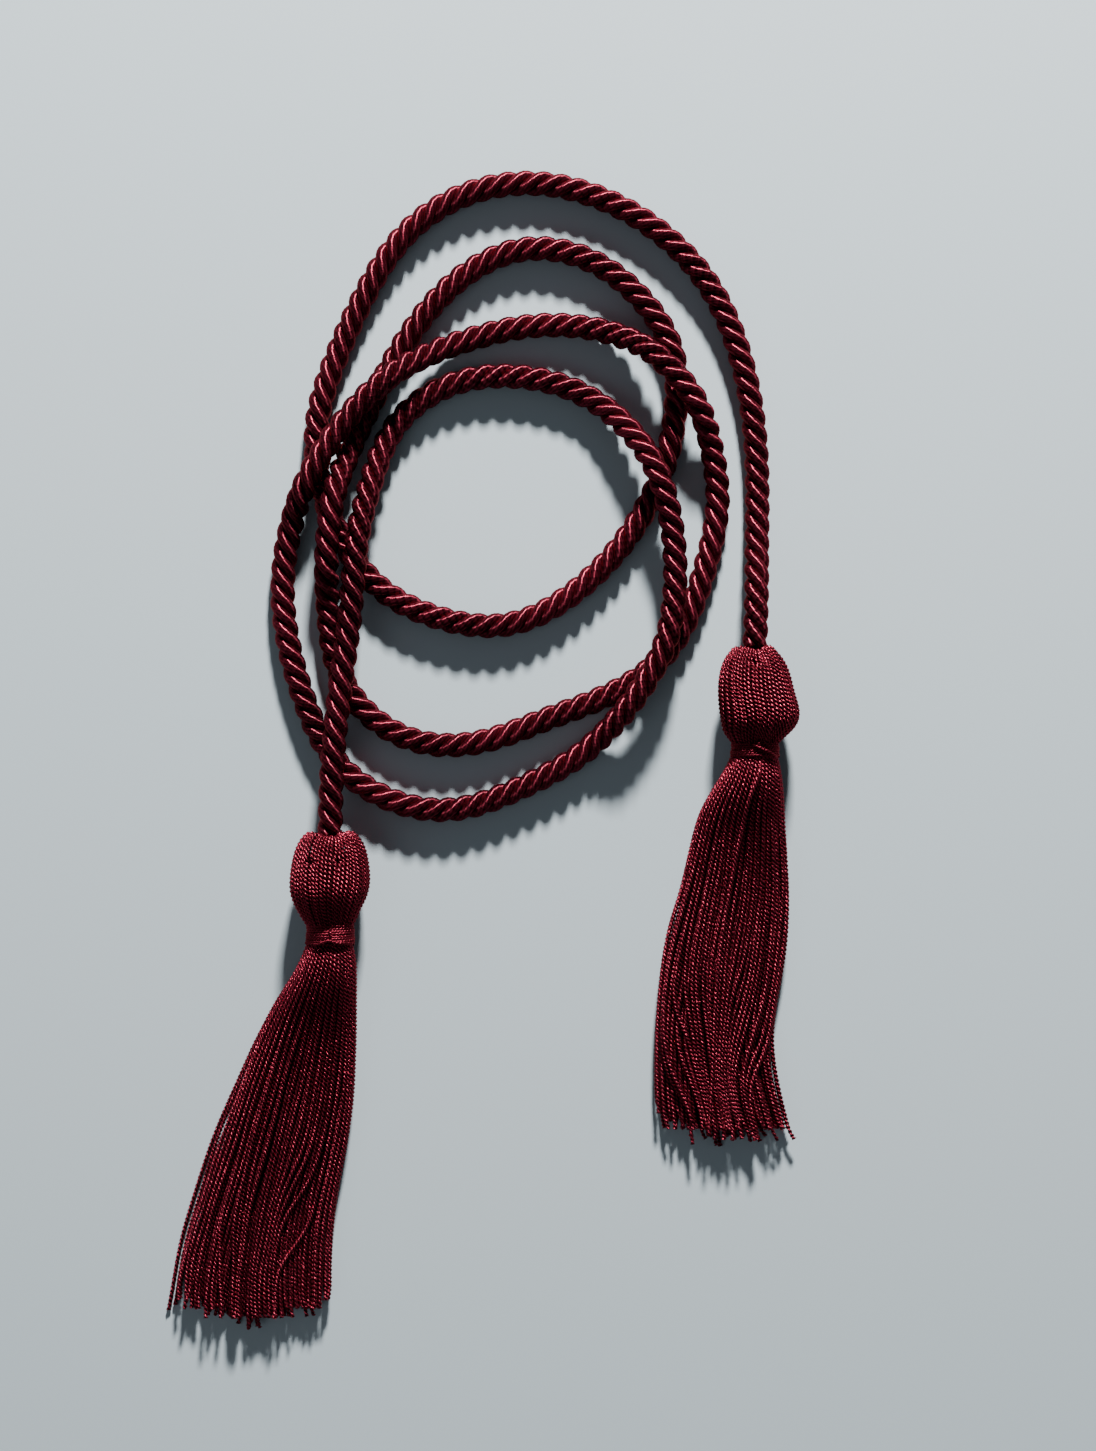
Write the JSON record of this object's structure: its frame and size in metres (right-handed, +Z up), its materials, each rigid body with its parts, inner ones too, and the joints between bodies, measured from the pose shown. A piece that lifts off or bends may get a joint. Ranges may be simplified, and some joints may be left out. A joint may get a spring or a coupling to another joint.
{
  "type": "tasselled twisted cord",
  "caption": "Twisted satin rope with a bound yarn tassel on each end, lying in loose loops, worn over the shoulders or tied back as a trim.",
  "frame": {"origin": "on the surface that the cord lies on, under the middle of the box around the two tassels", "axes": "+Z up from the surface, +Y along the tassels towards the loops of rope, +X towards the right tassel"},
  "size_m": [0.1574, 0.2891, 0.02],
  "materials": {
    "rope_rayon": "satin",
    "tassel_yarn": "satin",
    "binding_thread": "satin"
  },
  "bodies": {
    "rope": {"twisted_rope": "rope_rayon"},
    "left_head": {"left_rope_knot": "rope_rayon", "left_hank_tie": "binding_thread", "left_head_core": "tassel_yarn", "left_head_folds": "tassel_yarn", "left_neck_binding": "binding_thread"},
    "left_skirt": {"left_skirt_gather": "tassel_yarn", "left_skirt_core": "tassel_yarn", "left_skirt_folds": "tassel_yarn", "left_stray_yarns": "tassel_yarn"},
    "right_head": {"right_rope_knot": "rope_rayon", "right_hank_tie": "binding_thread", "right_head_core": "tassel_yarn", "right_head_folds": "tassel_yarn", "right_neck_binding": "binding_thread"},
    "right_skirt": {"right_skirt_gather": "tassel_yarn", "right_skirt_core": "tassel_yarn", "right_skirt_folds": "tassel_yarn", "right_stray_yarn": "tassel_yarn"}
  },
  "joints": [
    {"name": "left_head_swing", "type": "hinge", "parent": "rope", "child": "left_head", "pos_m": [-0.037, 0.038, 0.01], "axis": [0, 0, 1], "range_deg": [-25, 18]},
    {"name": "left_skirt_swing", "type": "hinge", "parent": "left_head", "child": "left_skirt", "pos_m": [-0.037, 0.0072, 0.01], "axis": [0, 0, 1], "range_deg": [-12, 10]},
    {"name": "right_head_swing", "type": "hinge", "parent": "rope", "child": "right_head", "pos_m": [0.0683, 0.0848, 0.01], "axis": [0, 0, 1], "range_deg": [-15, 25]},
    {"name": "right_skirt_swing", "type": "hinge", "parent": "right_head", "child": "right_skirt", "pos_m": [0.0683, 0.0537, 0.01], "axis": [0, 0, 1], "range_deg": [-10, 12]}
  ]
}
